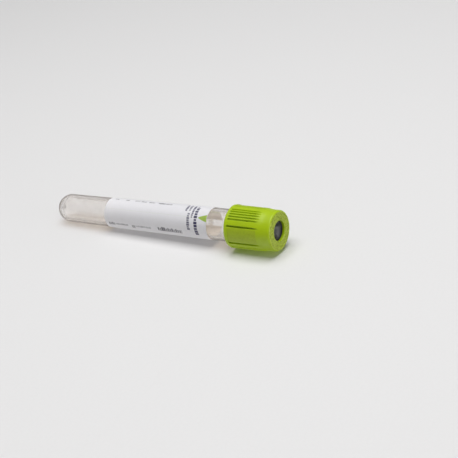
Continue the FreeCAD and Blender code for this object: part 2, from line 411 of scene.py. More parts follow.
band_edge = rows(BAND_HEIGHT, BAND_HEIGHT - STEP_WIDTH, 5)
skirt_rows = rows(BAND_HEIGHT - 0.4, GROOVE_STRAIGHT + 0.4, 5)
shoulder_rows = rows(GROOVE_STRAIGHT, NECK_HEIGHT, 20)
outside = [(land_radius(height), height) for height in band_edge + skirt_rows + shoulder_rows]
cap_section = rounded_section([
    (BORE_RADIUS, RIM_HEIGHT, 0.15),
    (RIM_RADIUS, RIM_HEIGHT, RIM_ROUNDING),
    (RIM_RADIUS, BAND_HEIGHT + 0.08),
    *outside,
    (NECK_RADIUS, NECK_HOLD),
    (NECK_RADIUS, 0, END_ROUNDING),
    (NECK_RADIUS - OUTER_HOLD, 0),
    (HOLE_RADIUS + INNER_HOLD, 0),
    (HOLE_RADIUS, 0, HOLE_ROUNDING),
    (HOLE_RADIUS, HEAD_HEIGHT, 0.05),
    (SEAT_RADIUS, HEAD_HEIGHT),
    (SEAT_RADIUS, MOUTH_HEIGHT),
    (BEAD_RADIUS, MOUTH_HEIGHT, 0.1),
    (BEAD_RADIUS, BEAD_END, 0.1),
    (BORE_TOP_RADIUS, BORE_START),
    (BORE_RADIUS, RIM_HEIGHT - 0.6),
], 5)
cap_section.append(cap_section[0])
CAP_COLUMNS = 720
ribbed_cap = spin_piece("ribbed_cap", cap_section, CAP_COLUMNS)
print("cap skin:", len(cap_section), "points in section,", len(ribbed_cap.data.polygons), "faces")

# %% [markdown]
# Each groove and panel could be cut with a Boolean, but that leaves thin faces that no rounding gets past.
# Pressing them into the skin is nearer to how the mould shapes the plastic: a vertex group says how far each
# point sinks, from 0 for the plain skin to 1 for the floor of a groove, and a Displace modifier pushes the
# points in by that share. Slanted sides and run-outs are then shares between 0 and 1.

# %% Say how far each point of the skin sinks
GROUP_TURN = 18.2        # middle of one group of grooves, in degrees from the front towards +X
GROUPS = 3
GROOVES = 5
GROOVE_PITCH = 8.1       # degrees
GROOVE_DEPTH = 0.55
GROOVE_FLOOR = 0.14      # half width in mm
GROOVE_MOUTH = 0.40      # half width in mm
GROOVE_SIDE = 0.01       # least width of a groove's slanted side
GROOVE_RUNOUT = 3.0      # length over which the floor rises by the next figure
GROOVE_RISE = 0.35
PANEL_DEPTH = 0.10
SIDE_DEPTH = 0.8         # of the grooves along the panels, the deepest places
SIDE_WIDENING = 0.12     # added to their half width
PANEL_HALF = 24.75       # degrees
SECTOR = 360.0 / GROUPS


def past_band(height):
    """0 on the plain band, 1 below it."""
    return ramp(BAND_HEIGHT - height, 0, STEP_WIDTH)


def groove_share(degrees_away, height, depth, wider=0.0):
    """Depth in mm at a point, that many degrees from the middle line of a groove."""
    rise = max(0.0, GROOVE_STRAIGHT - height) * (GROOVE_RISE + depth - GROOVE_DEPTH) / GROOVE_RUNOUT
    floor = skirt_radius(max(height, SKIRT_TOP)) - depth + rise
    full = max(0.0, land_radius(height) - floor)
    mouth = GROOVE_FLOOR + (GROOVE_MOUTH + wider - GROOVE_FLOOR) * min(1.0, full / depth)
    away = math.radians(degrees_away) * SKIRT_TOP_RADIUS
    return full * ramp(mouth - away, 0, mouth - GROOVE_FLOOR + GROOVE_SIDE)


def panel_share(height):
    """Depth in mm of a panel's floor, which runs out on the shoulder."""
    return max(0.0, land_radius(height) - skirt_radius(height) + PANEL_DEPTH)


def sink(point):
    """Share of the greatest depth by which a point of the outer skin sinks."""
    height = point.z / MM
    if not NECK_HEIGHT < height < BAND_HEIGHT or point.xy.length / MM < NECK_RADIUS - 0.01:
        return 0.0
    around = math.degrees(math.atan2(point.x, -point.y)) - GROUP_TURN
    from_group = abs((around + SECTOR / 2) % SECTOR - SECTOR / 2)
    from_panel = SECTOR / 2 - from_group
    nearest = min(GROOVES // 2, round(from_group / GROOVE_PITCH)) * GROOVE_PITCH
    groove = groove_share(abs(from_group - nearest), height, GROOVE_DEPTH)
    side = groove_share(abs(from_panel - PANEL_HALF), height, SIDE_DEPTH, SIDE_WIDENING)
    panel = panel_share(height) if from_panel < PANEL_HALF else 0.0
    return max(groove, side, panel) * past_band(height) / SIDE_DEPTH


sunk = ribbed_cap.vertex_groups.new(name="sunk")
moved = 0
for vertex in ribbed_cap.data.vertices:
    share = sink(vertex.co)
    if share > 0:
        sunk.add([vertex.index], share, "REPLACE")
        moved += 1
print("points that sink:", moved, "of", len(ribbed_cap.data.vertices))

# %% Press the grip into the skin
def apply_modifier(piece, name):
    """Apply one modifier of a piece as the Apply button does."""
    select_only(piece)
    bpy.ops.object.modifier_apply(modifier=name)


press = ribbed_cap.modifiers.new("press", "DISPLACE")
press.direction = "NORMAL"
press.mid_level = 0.0
press.strength = -SIDE_DEPTH * MM
press.vertex_group = "sunk"
apply_modifier(ribbed_cap, "press")
shade_soft(ribbed_cap, 75)
radii = [vertex.co.xy.length / MM for vertex in ribbed_cap.data.vertices if 10 < vertex.co.z / MM < 16]
outer_radii = [radius for radius in radii if radius > BORE_RADIUS + 0.2]
print("grip radii, mm:", round(min(outer_radii), 3), "to", round(max(outer_radii), 3))

# %% [markdown]
# ## Materials
# Nodes are joined by short helpers, so that each material reads as a list of what it does. One helper makes
# a node and fills its inputs: a number is typed into the socket, another node's output is wired to it. The
# others are shorthands for what comes up most: sums, soft steps, blends, noise, bumps and mixed shaders.

# %% Helpers for nodes
def fill_socket(tree, socket, value):
    """Wire an output to a socket, or type a constant into it."""
    if isinstance(value, bpy.types.NodeSocket):
        tree.links.new(value, socket)
    else:
        socket.default_value = value


def add_node(tree, kind, inputs=None, **settings):
    """Add a node, set its properties, then fill its inputs by name or place."""
    node = tree.nodes.new(kind)
    for key, value in settings.items():
        setattr(node, key, value)
    for key, value in (inputs or {}).items():
        fill_socket(tree, node.inputs[key], value)
    return node


def calc(tree, operation, *values):
    """One Math node; returns its output."""
    return add_node(tree, "ShaderNodeMath", dict(enumerate(values)), operation=operation).outputs[0]


def soft_step(tree, value, start, end):
    """0 below start, 1 above end, with a soft change between; returns the output."""
    inputs = {"Value": value, "From Min": start, "From Max": end}
    return add_node(tree, "ShaderNodeMapRange", inputs, interpolation_type="SMOOTHSTEP").outputs[0]


def blend(tree, factor, first, second):
    """Blend two colours; returns the colour."""
    mix = add_node(tree, "ShaderNodeMix", data_type="RGBA")
    colours = [socket for socket in mix.inputs if socket.type == "RGBA"]
    for socket, value in zip((mix.inputs[0], *colours), (factor, first, second)):
        fill_socket(tree, socket, value)
    return next(socket for socket in mix.outputs if socket.type == "RGBA")


def new_group(name, inputs, outputs):
    """An empty node group with named sockets; returns its tree, its inputs and its outputs."""
    tree = bpy.data.node_groups.new(name, "ShaderNodeTree")
    for label, value in inputs.items():
        tree.interface.new_socket(label, in_out="INPUT", socket_type="NodeSocketFloat").default_value = value
    for label in outputs:
        tree.interface.new_socket(label, in_out="OUTPUT", socket_type="NodeSocketFloat")
    given = tree.nodes.new("NodeGroupInput").outputs
    result = tree.nodes.new("NodeGroupOutput").inputs
    return tree, given, result


def use_group(tree, group, **inputs):
    """Put a node group into a tree; returns its outputs."""
    node = tree.nodes.new("ShaderNodeGroup")
    node.node_tree = group
    for key, value in inputs.items():
        fill_socket(tree, node.inputs[key], value)
    return node.outputs


def new_material(name, inputs):
    """A material with a Principled shader and these inputs; returns the material, its tree and the shader."""
    material = bpy.data.materials.new(name)
    material.use_nodes = True
    tree = material.node_tree
    shader = tree.nodes["Principled BSDF"]
    for key, value in inputs.items():
        shader.inputs[key].default_value = value
    return material, tree, shader


def own_place(tree):
    """Position on the piece itself, in metres."""
    return tree.nodes.new("ShaderNodeTexCoord").outputs["Object"]


def noise(tree, scale, detail, place=None, **more):
    """Noise over the piece with that many waves to a metre; returns its value."""
    inputs = {"Vector": place or own_place(tree), "Scale": scale, "Detail": detail, **more}
    return add_node(tree, "ShaderNodeTexNoise", inputs).outputs[0]


def distance_from_axis(tree):
    """How far a point lies from the Z axis, in metres."""
    sideways = add_node(tree, "ShaderNodeVectorMath", {0: own_place(tree), 1: (1.0, 1.0, 0.0)},
                        operation="MULTIPLY")
    return add_node(tree, "ShaderNodeVectorMath", {0: sideways.outputs[0]}, operation="LENGTH").outputs["Value"]


def add_bump(tree, shader, height, strength, depth_mm):
    """Let a height bend the light on a shader."""
    bump = add_node(tree, "ShaderNodeBump", {"Strength": strength, "Distance": depth_mm * MM, "Height": height})
    tree.links.new(bump.outputs[0], shader.inputs["Normal"])


def on_rays(tree, first, second):
    """1 on either of two kinds of ray; returns the output."""
    path = tree.nodes.new("ShaderNodeLightPath").outputs
    return calc(tree, "MAXIMUM", path[f"Is {first} Ray"], path[f"Is {second} Ray"])


def mix_shaders(tree, factor, first, second):
    """Mix two shader nodes; returns the mixing node."""
    return add_node(tree, "ShaderNodeMixShader", {0: factor, 1: first.outputs[0], 2: second.outputs[0]})


def show(tree, surface):
    """Make a shader node the material's surface."""
    tree.links.new(surface.outputs[0], tree.nodes["Material Output"].inputs["Surface"])


print("node helpers ready")

# %% [markdown]
# Two effects turn up on more than one piece, so each is a node group with named inputs. "Moulded grain" is
# the fine unevenness that a tool leaves in moulded plastic and rubber. It could be painted as colour, but
# real grain only bends the light, so the group gives a height for a Bump node. "Handling marks" are the faint
# dull patches and hairlines that a part gets from its neighbours in a box; they act on roughness alone.

# %% Shared groups: moulded grain and handling marks
grain_tree, given, result = new_group("moulded grain", {"cell mm": 0.3, "waviness": 0.3}, ["height"])
grain_size = calc(grain_tree, "DIVIDE", 1 / MM, given["cell mm"])
fine = noise(grain_tree, grain_size, 2.0, Roughness=0.6)
wave = calc(grain_tree, "MULTIPLY", noise(grain_tree, 0.35 / MM, 1.0), given["waviness"])
grain_tree.links.new(calc(grain_tree, "ADD", fine, wave), result["height"])

marks_tree, given, result = new_group("handling marks", {"amount": 0.1}, ["roughness to add"])
dull = soft_step(marks_tree, noise(marks_tree, 0.16 / MM, 3.0), 0.45, 0.75)
stretch = add_node(marks_tree, "ShaderNodeMapping",
                   {"Vector": own_place(marks_tree), "Rotation": (0.3, 0.2, 0.5), "Scale": (1.0, 1.0, 0.05)})
hairs = noise(marks_tree, 3.2 / MM, 1.0, stretch.outputs[0])
hairline = soft_step(marks_tree, hairs, 0.68, 0.74)
both = calc(marks_tree, "MAXIMUM", dull, hairline)
marks_tree.links.new(calc(marks_tree, "MULTIPLY", both, given["amount"]), result["roughness to add"])


def add_marks(tree, shader, roughness, amount):
    """Give a shader its roughness, with handling marks on top."""
    marks = use_group(tree, marks_tree, amount=amount)["roughness to add"]
    fill_socket(tree, shader.inputs["Roughness"], calc(tree, "ADD", marks, roughness))


def moulded_grain(tree, cell_mm, waviness):
    """Height of the moulded grain, with cells of that size."""
    return use_group(tree, grain_tree, **{"cell mm": cell_mm, "waviness": waviness})["height"]


print("groups:", [group.name for group in bpy.data.node_groups])

# %% [markdown]
# ### Clear plastic
# The tube is clear, faintly warm plastic. Principled with full transmission bends the light as the real wall
# does. The wall isn't perfectly clear: a dried coating inside gives it a thin haze, which builds up where the
# wall is seen edge on. So a share of Diffuse and Translucent is mixed in by Layer Weight, and more of it on the
# scar where the plastic was let in. Where the wall is seen edge on, the haze is painted grey: painted shade that
# draws the soft grey outline. A true glass shader throws a hard shadow and keeps light out of the bore, so for
# shadow rays and soft bounces the wall is simply let through with its tint. A small ring near the cap is moulded
# in the wall, so it's a bump, with a trace of haze painted grey as the shade along its edge.

# %% Material of the tube
MOULD_RING_HEIGHT = 27.0
MOULD_RING_TURN = -11.0     # degrees from the front
MOULD_RING_RADIUS = 1.05
MOULD_RING_SIDE = 0.28      # width over which its height falls away
GRAIN_BESIDE_RING = 0.12    # height of the wall's grain if the ring's is 1
SCAR_START = 0.95           # radius where the scar starts, and where it's full
SCAR_FULL = 0.65
CLEAR_TINT = (0.985, 0.975, 0.968, 1)
HAZE_PALE = (0.86, 0.82, 0.79, 1)
# painted shade: the haze's grey colour where the wall is seen edge on and along the mould ring
HAZE_PAINTED_SHADE = (0.34, 0.32, 0.31, 1)
SCAR_GREY = (0.20, 0.19, 0.185, 1)
SHADOW_TINT = (0.88, 0.855, 0.83, 1)
HAZE_ALL_OVER = 0.07        # shares of haze in the wall
HAZE_EDGE_ON = 0.78
HAZE_FILM = 0.08
HAZE_SCAR = 0.8
RING_PAINTED_SHADE = 0.3

clear_plastic, tree, shader = new_material(
    "clear plastic", {"Base Color": CLEAR_TINT, "Transmission Weight": 1.0, "IOR": 1.57})
add_marks(tree, shader, roughness=0.05, amount=0.10)

ring_turn = math.radians(MOULD_RING_TURN)
ring_radius = tube_radius(MOULD_RING_HEIGHT)
ring_place = (ring_radius * math.sin(ring_turn) * MM, -ring_radius * math.cos(ring_turn) * MM,
              MOULD_RING_HEIGHT * MM)
distance = add_node(tree, "ShaderNodeVectorMath", {0: own_place(tree), 1: ring_place}, operation="DISTANCE")
from_centre = calc(tree, "MULTIPLY", distance.outputs["Value"], 1 / MM)
from_ring = calc(tree, "ABSOLUTE", calc(tree, "SUBTRACT", from_centre, MOULD_RING_RADIUS))
ring = soft_step(tree, from_ring, MOULD_RING_SIDE, 0.0)
grain = moulded_grain(tree, cell_mm=2.5, waviness=0.6)
uneven = calc(tree, "MULTIPLY_ADD", grain, GRAIN_BESIDE_RING, ring)
add_bump(tree, shader, uneven, strength=1.0, depth_mm=0.12)

edge_on = add_node(tree, "ShaderNodeLayerWeight", {"Blend": 0.5}).outputs["Facing"]
haze = calc(tree, "MULTIPLY_ADD", soft_step(tree, edge_on, 0.36, 0.88), HAZE_EDGE_ON, HAZE_ALL_OVER)
haze = calc(tree, "MULTIPLY_ADD", soft_step(tree, noise(tree, 0.25 / MM, 3.0), 0.35, 0.75), HAZE_FILM, haze)
scar = soft_step(tree, distance_from_axis(tree), SCAR_START * MM, SCAR_FULL * MM)
haze = calc(tree, "MAXIMUM", haze, calc(tree, "MULTIPLY", scar, HAZE_SCAR))
haze = calc(tree, "MAXIMUM", haze, calc(tree, "MULTIPLY", ring, RING_PAINTED_SHADE))
# painted shade: the haze turns grey edge on and on the ring, to draw a darker outline
painted_outline_shade = calc(tree, "MAXIMUM", soft_step(tree, edge_on, 0.38, 0.74), ring)
haze_tone = blend(tree, painted_outline_shade, HAZE_PALE, HAZE_PAINTED_SHADE)
haze_colour = blend(tree, scar, haze_tone, SCAR_GREY)
front_haze = add_node(tree, "ShaderNodeBsdfDiffuse", {"Color": haze_colour})
back_haze = add_node(tree, "ShaderNodeBsdfTranslucent", {"Color": haze_colour})
hazy_wall = mix_shaders(tree, haze, shader, mix_shaders(tree, 0.5, front_haze, back_haze))

let_through = add_node(tree, "ShaderNodeBsdfTransparent", {"Color": SHADOW_TINT})
soft_light = on_rays(tree, "Shadow", "Diffuse")
show(tree, mix_shaders(tree, soft_light, hazy_wall, let_through))
tube_wall.data.materials.append(clear_plastic)
print("tube:", clear_plastic.name, "ring at", [round(v / MM, 2) for v in ring_place])

# %% [markdown]
# ### Print on the label
# The print is laid out on the flat label, so the first group unrolls it: "along" runs from the edge near the
# round bottom towards the cap, "around" runs round the tube from the middle of the front, both in mm. The
# second group prints one row of small blocks between two ends, in place of words: the blocks differ in
# width, height, place on the line and strength. Given the other way round, it prints a column. A UV map
# would do the same, but the formula is exact and needs no unwrapping.

# %% Groups that unroll the label and print a row of blocks
LABEL_RADIUS = 6.2

unroll_tree, given, result = new_group("unrolled label", {}, ["along", "around"])
split = add_node(unroll_tree, "ShaderNodeSeparateXYZ", {0: own_place(unroll_tree)})
to_front = calc(unroll_tree, "MULTIPLY", split.outputs["Y"], -1.0)
angle = calc(unroll_tree, "ARCTAN2", split.outputs["X"], to_front)
unroll_tree.links.new(calc(unroll_tree, "MULTIPLY", angle, LABEL_RADIUS), result["around"])
below_head = calc(unroll_tree, "SUBTRACT", LABEL_HEAD * MM, split.outputs["Z"])
unroll_tree.links.new(calc(unroll_tree, "DIVIDE", below_head, MM), result["along"])

row_tree, given, result = new_group(
    "row of blocks", {"along": 0, "across": 0, "start": 0, "end": 1, "middle": 0, "height": 1, "block": 0.8},
    ["ink"])
past_start = calc(row_tree, "SUBTRACT", given["along"], given["start"])
before_end = calc(row_tree, "SUBTRACT", given["end"], given["along"])
inside_ends = calc(row_tree, "MINIMUM", past_start, before_end)
steps_along = calc(row_tree, "DIVIDE", past_start, given["block"])
block_number = calc(row_tree, "FLOOR", steps_along)
seed = calc(row_tree, "MULTIPLY_ADD", given["start"], 7.3, block_number)
chance = add_node(row_tree, "ShaderNodeTexWhiteNoise", {"W": seed}, noise_dimensions="1D").outputs["Value"]
second_seed = calc(row_tree, "ADD", seed, 0.5)
slip = add_node(row_tree, "ShaderNodeTexWhiteNoise", {"W": second_seed}, noise_dimensions="1D").outputs["Value"]
in_block = calc(row_tree, "PINGPONG", steps_along, 0.5)
block_width = calc(row_tree, "MULTIPLY_ADD", chance, -0.13, 0.165)
letter = soft_step(row_tree, calc(row_tree, "SUBTRACT", in_block, block_width), -0.04, 0.08)
letter_height = calc(row_tree, "MULTIPLY_ADD", chance, 0.3, 0.7)
half_height = calc(row_tree, "MULTIPLY", calc(row_tree, "MULTIPLY", given["height"], 0.5), letter_height)
slip_reach = calc(row_tree, "MULTIPLY", given["height"], 0.18)
slipped = calc(row_tree, "MULTIPLY_ADD", calc(row_tree, "SUBTRACT", slip, 0.5), slip_reach, given["middle"])
off_line = calc(row_tree, "ABSOLUTE", calc(row_tree, "SUBTRACT", given["across"], slipped))
inside_line = calc(row_tree, "SUBTRACT", half_height, off_line)
inside = soft_step(row_tree, calc(row_tree, "MINIMUM", inside_ends, inside_line), -0.06, 0.06)
weight = calc(row_tree, "MULTIPLY_ADD", slip, 0.25, 0.75)
row_tree.links.new(calc(row_tree, "MULTIPLY", calc(row_tree, "MULTIPLY", inside, letter), weight), result["ink"])
print("print groups:", unroll_tree.name, "and", row_tree.name)

# %% [markdown]
# The real label carries words in three places: fine grey lines along the top, a line along the lower side
# that ends in a bold block, and columns that run round the tube by the cap. All of them become rows of
# blocks of the same size and strength, and the columns lean a little, as the print does on the real label.
# The one drawn sign is a small green triangle that points away from the cap, and a green stripe runs the
# length of the label.

# %% Where the rows and columns of the print stand
# (start, end, middle, height, block, strength), in mm along the tube and round it
PRINTED_ROWS = [
    (2.6, 4.4, 5.5, 0.80, 0.45, 0.80), (8.0, 9.9, 5.4, 0.85, 0.45, 0.85), (12.6, 15.2, 5.4, 0.75, 0.42, 0.75),
    (15.8, 18.4, 5.3, 0.80, 0.45, 0.85), (19.6, 22.4, 5.3, 0.75, 0.42, 0.75), (24.4, 27.6, 5.2, 1.0, 0.55, 1.0),
    (28.0, 31.0, 5.2, 0.85, 0.45, 0.85),
    (1.5, 6.5, 7.3, 0.6, 0.42, 0.45), (7.5, 16.0, 7.3, 0.6, 0.42, 0.45), (17.0, 24.5, 7.3, 0.6, 0.42, 0.45),
    (1.6, 4.9, -6.6, 1.6, 0.80, 0.85), (5.2, 11.4, -6.6, 0.95, 0.50, 0.65),
    (13.2, 14.8, -6.9, 1.7, 0.80, 0.80), (15.0, 22.8, -6.6, 1.05, 0.55, 0.60),
    (26.2, 37.9, -6.6, 2.2, 0.95, 1.0),
]
PRINTED_COLUMNS = [
    (-7.3, 4.7, 44.6, 1.6, 1.15, 1.0), (-5.2, 1.7, 41.2, 1.4, 0.85, 0.95), (2.6, 6.3, 41.1, 1.0, 0.60, 0.85),
    (-0.4, 5.9, 42.9, 1.0, 0.80, 0.95), (2.3, 6.2, 39.5, 0.95, 0.55, 0.95), (4.2, 6.3, 44.4, 0.6, 0.45, 0.5),
]
PRINT_SKEW = 0.09        # mm that a column leans along the tube for each mm round it
TRIANGLE_APEX = 46.0
TRIANGLE_BASE = 49.95
TRIANGLE_HALF = 1.45
TRIANGLE_SWELL = 0.7     # below 1 its sides bulge and its tip is blunt
STRIPE_AROUND = 11.4
STRIPE_WIDTH = 1.1
print(len(PRINTED_ROWS), "rows and", len(PRINTED_COLUMNS), "columns of blocks")

# %% [markdown]
# ### Label paper
# The face of the label is white coated paper with a soft sheen. Its grain is finer than plastic's and a
# little fibrous, and it takes a faint grey along its cut edges. Thin paper lets some light through, which is
# why the inside of the tube isn't black: a Translucent shader is blended in for soft light, and a share of the
# lamps' light passes straight through as shadow rays. The back of the paper is its own material, a dull
# beige where the glue shows through the wall.

# %% Material of the label's face
PAPER_WHITE = (0.84, 0.845, 0.89, 1)
PAPER_WORN = (0.73, 0.73, 0.76, 1)
NAVY_INK = (0.022, 0.018, 0.085, 1)
GREY_INK = (0.09, 0.085, 0.11, 1)
GREEN_INK = (0.37, 0.53, 0.10, 1)
PAPER_LETS_THROUGH = 0.45    # share of the lamps' light that passes each side
FACE_GLOW = 0.22             # share of soft light that the two sides pass on
BACK_GLOW = 0.85
LET_THROUGH_TINT = (1.0, 0.97, 0.92, 1)
MOTTLE_WEAR = 0.25           # shares of wear over the face and along its edges
EDGE_WEAR = 0.4
EDGE_WIDTH = 0.5


def print_rows(tree, rows, along, across):
    """Blend rows of blocks into one ink mask."""
    ink = 0.0
    for start, end, middle, height, block, strength in rows:
        row = use_group(tree, row_tree, along=along, across=across, start=start, end=end, middle=middle,
                        height=height, block=block)["ink"]
        ink = calc(tree, "MAXIMUM", calc(tree, "MULTIPLY", row, strength), ink)
    return ink


def thin_paper(tree, look):
    """Let a share of the lamps' light pass through one side of the paper."""
    passed = add_node(tree, "ShaderNodeBsdfTransparent", {"Color": LET_THROUGH_TINT})
    shadow = tree.nodes.new("ShaderNodeLightPath").outputs["Is Shadow Ray"]
    share = calc(tree, "MULTIPLY", shadow, PAPER_LETS_THROUGH)
    return mix_shaders(tree, share, look, passed)


label_face, tree, shader = new_material("label face", {"Specular IOR Level": 0.4})
flat = use_group(tree, unroll_tree)
along, around = flat["along"], flat["around"]
grey_ink = print_rows(tree, PRINTED_ROWS, along, around)
askew = calc(tree, "MULTIPLY_ADD", around, PRINT_SKEW, along)
navy_ink = print_rows(tree, PRINTED_COLUMNS, around, askew)

taper = calc(tree, "DIVIDE", calc(tree, "SUBTRACT", askew, TRIANGLE_APEX), TRIANGLE_BASE - TRIANGLE_APEX)
widening = calc(tree, "POWER", calc(tree, "MAXIMUM", taper, 0.0), TRIANGLE_SWELL)
triangle_half = calc(tree, "MULTIPLY", widening, TRIANGLE_HALF)
in_triangle = calc(tree, "SUBTRACT", triangle_half, calc(tree, "ABSOLUTE", around))
before_base = calc(tree, "SUBTRACT", TRIANGLE_BASE, askew)
triangle = soft_step(tree, calc(tree, "MINIMUM", in_triangle, before_base), -0.05, 0.05)
off_stripe = calc(tree, "ABSOLUTE", calc(tree, "SUBTRACT", around, STRIPE_AROUND))
stripe = soft_step(tree, off_stripe, STRIPE_WIDTH / 2 + 0.05, STRIPE_WIDTH / 2 - 0.05)
green_ink = calc(tree, "MAXIMUM", triangle, stripe)

to_edge = calc(tree, "MINIMUM", along, calc(tree, "SUBTRACT", LABEL_HEAD - LABEL_FOOT, along))
window_side = math.radians(180 + LABEL_TURN - window_degrees / 2) * LABEL_RADIUS
to_side = calc(tree, "ABSOLUTE", calc(tree, "SUBTRACT", around, window_side))
edge = soft_step(tree, calc(tree, "MINIMUM", to_edge, to_side), EDGE_WIDTH, 0.0)
mottle = soft_step(tree, noise(tree, 0.5 / MM, 4.0), 0.4, 0.9)
wear = calc(tree, "MULTIPLY_ADD", mottle, MOTTLE_WEAR, calc(tree, "MULTIPLY", edge, EDGE_WEAR))
paper = blend(tree, wear, PAPER_WHITE, PAPER_WORN)
with_grey = blend(tree, grey_ink, paper, GREY_INK)
with_navy = blend(tree, navy_ink, with_grey, NAVY_INK)
with_green = blend(tree, green_ink, with_navy, GREEN_INK)
tree.links.new(with_green, shader.inputs["Base Color"])

add_marks(tree, shader, roughness=0.42, amount=0.08)
add_bump(tree, shader, noise(tree, 6 / MM, 3.0), strength=0.25, depth_mm=0.01)
lit_through = add_node(tree, "ShaderNodeBsdfTranslucent", {"Color": with_green})
show(tree, thin_paper(tree, mix_shaders(tree, FACE_GLOW, shader, lit_through)))
print("label face: rows joined, triangle and stripe added")

# %% Material of the label's back, and which faces take it
GLUE_DEEP = (0.84, 0.79, 0.71, 1)
GLUE_PALE = (0.90, 0.85, 0.77, 1)
GLUE_LIT = (0.95, 0.90, 0.82, 1)

label_back, tree, shader = new_material("label back", {"Roughness": 0.6})
glue = blend(tree, soft_step(tree, noise(tree, 0.4 / MM, 3.0), 0.3, 0.7), GLUE_DEEP, GLUE_PALE)
tree.links.new(glue, shader.inputs["Base Color"])
lit_through = add_node(tree, "ShaderNodeBsdfTranslucent", {"Color": GLUE_LIT})
show(tree, thin_paper(tree, mix_shaders(tree, BACK_GLOW, shader, lit_through)))


def assign_faces(piece, material, belongs):
    """Give a material to the faces that pass a test on their centre and normal."""
    piece.data.materials.append(material)
    select_only(piece)
    bpy.ops.object.mode_set(mode="EDIT")
    bpy.ops.mesh.select_mode(type="FACE")
    bpy.ops.mesh.select_all(action="DESELECT")
    bpy.ops.object.mode_set(mode="OBJECT")
    count = 0
    for face in piece.data.polygons:
        face.select = bool(belongs(face.center, face.normal))
        count += face.select
    piece.active_material_index = len(piece.data.materials) - 1
    bpy.ops.object.mode_set(mode="EDIT")
    bpy.ops.object.material_slot_assign()
    bpy.ops.object.mode_set(mode="OBJECT")
    return count


def on_glue_side(centre, normal):
    """True on the faces that look at the tube."""
    return normal.xy.dot(centre.xy) < -0.5 * centre.xy.length


wrap_label.data.materials.append(label_face)
backs = assign_faces(wrap_label, label_back, on_glue_side)
print("label faces on the glue side:", backs, "of", len(wrap_label.data.polygons))

# %% [markdown]
# ### Green cap plastic
# The cap is coloured right through, so the colour hardly varies, and most of its look comes from the light. The
# skin has a soft sheen. The end face and the sunk panels are etched in the mould: they scatter the light more
# and look a little greyer, and up close they are speckled. The end face's colour is also made much paler than
# the skin's, as painted light and sheen. The grooves get painted shade: the share by which the skin was pressed
# in also deepens the colour. One function makes all three finishes, because only their colour, grain and
# roughness differ.

# %% Materials of the cap
SKIN_GREEN = (0.37, 0.515, 0.003, 1), (0.29, 0.41, 0.001, 1)     # light and deep
PANEL_GREEN = (0.345, 0.455, 0.010, 1), (0.27, 0.36, 0.005, 1)
# the end face's light colour is far paler than the skin's: painted light and sheen on an etched face
END_GREEN_PAINTED_LIGHTER = (0.66, 0.81, 0.10, 1), (0.34, 0.46, 0.018, 1)
# the grooves' share of the deep colour is painted shade; the clouds' share is the plastic's own uneven tone
CLOUD_SHADE = 0.25       # shares of the deep colour that clouds and grooves bring
GROOVE_SHADE = 0.75


def moulded_green(name, colours, roughness, grain_mm, depth_mm, speckle):
    """One finish of the green moulding."""
    material, tree, shader = new_material(name, {"Specular IOR Level": 0.35})
    cloud = soft_step(tree, noise(tree, 0.3 / MM, 2.0), 0.3, 0.8)
    spots = soft_step(tree, noise(tree, 1.25 / MM, 2.0, Roughness=0.75), 0.50, 0.64)
    dark_spots = calc(tree, "MULTIPLY", spots, speckle)
    in_groove = add_node(tree, "ShaderNodeAttribute", attribute_name="sunk").outputs["Fac"]
    shade = calc(tree, "MULTIPLY_ADD", cloud, CLOUD_SHADE, dark_spots)
    # painted shade: the deeper the groove, the deeper the colour
    shade = calc(tree, "MULTIPLY_ADD", soft_step(tree, in_groove, 0.2, 0.9), GROOVE_SHADE, shade)
    tree.links.new(blend(tree, shade, *colours), shader.inputs["Base Color"])
    add_marks(tree, shader, roughness, amount=0.10)
    add_bump(tree, shader, moulded_grain(tree, grain_mm, waviness=0.4), 0.6, depth_mm)
    return material


# name, colours, roughness, grain in mm, its depth in mm, share of dark spots
cap_skin = moulded_green("green moulded skin", SKIN_GREEN, 0.36, 0.5, 0.02, 0.0)
# the end face is painted lighter, for the light and sheen that it catches
cap_end_painted_lighter = moulded_green("green etched end face painted lighter", END_GREEN_PAINTED_LIGHTER, 0.55, 0.45, 0.10, 1.0)
cap_panel = moulded_green("green etched panel", PANEL_GREEN, 0.5, 0.4, 0.06, 0.5)
ribbed_cap.data.materials.append(cap_skin)


def on_end_face(centre, normal):
    """True on the flat ring round the opening."""
    return normal.z < -0.9 and centre.z < 0.3 * MM


PANEL_INSIDE = 3.0       # degrees between the etched floor and the line of a side groove
PANEL_ABOVE = 1.2        # mm by which it runs out on the shoulder


def on_panel(centre, normal):
    """True on the floor of a sunk panel."""
    height = centre.z / MM
    around = (math.degrees(math.atan2(centre.x, -centre.y)) - GROUP_TURN) % SECTOR - SECTOR / 2
    outside = centre.xy.length / MM > BORE_RADIUS + 0.3
    between = SKIRT_TOP - PANEL_ABOVE < height < BAND_HEIGHT - STEP_WIDTH
    return outside and abs(around) < PANEL_HALF - PANEL_INSIDE and between


print("end face:", assign_faces(ribbed_cap, cap_end_painted_lighter, on_end_face), "faces, panels:",
      assign_faces(ribbed_cap, cap_panel, on_panel), "faces")

# %% [markdown]
# ### Stopper rubber
# The rubber is near black with a satin face. Rubber gets a dusty bloom in its hollows, and its dish catches a
# soft sheen, so a soft noise lifts the colour in the dish, partly as bloom and partly as painted sheen, and the
# shared grain keeps the highlight from looking polished.

# %% Material of the stopper
RUBBER_BLACK = (0.010, 0.010, 0.010, 1)
# the pale colour in the dish is partly dust bloom and partly painted sheen
RUBBER_BLOOM_AND_SHEEN = (0.30, 0.297, 0.30, 1)
BLOOM_SHEEN_START = 4.1        # radius where the bloom starts, and where it's full
BLOOM_SHEEN_FULL = 3.0

rubber, tree, shader = new_material("dark rubber", {"Specular IOR Level": 0.35})
in_dish = soft_step(tree, distance_from_axis(tree), BLOOM_SHEEN_START * MM, BLOOM_SHEEN_FULL * MM)
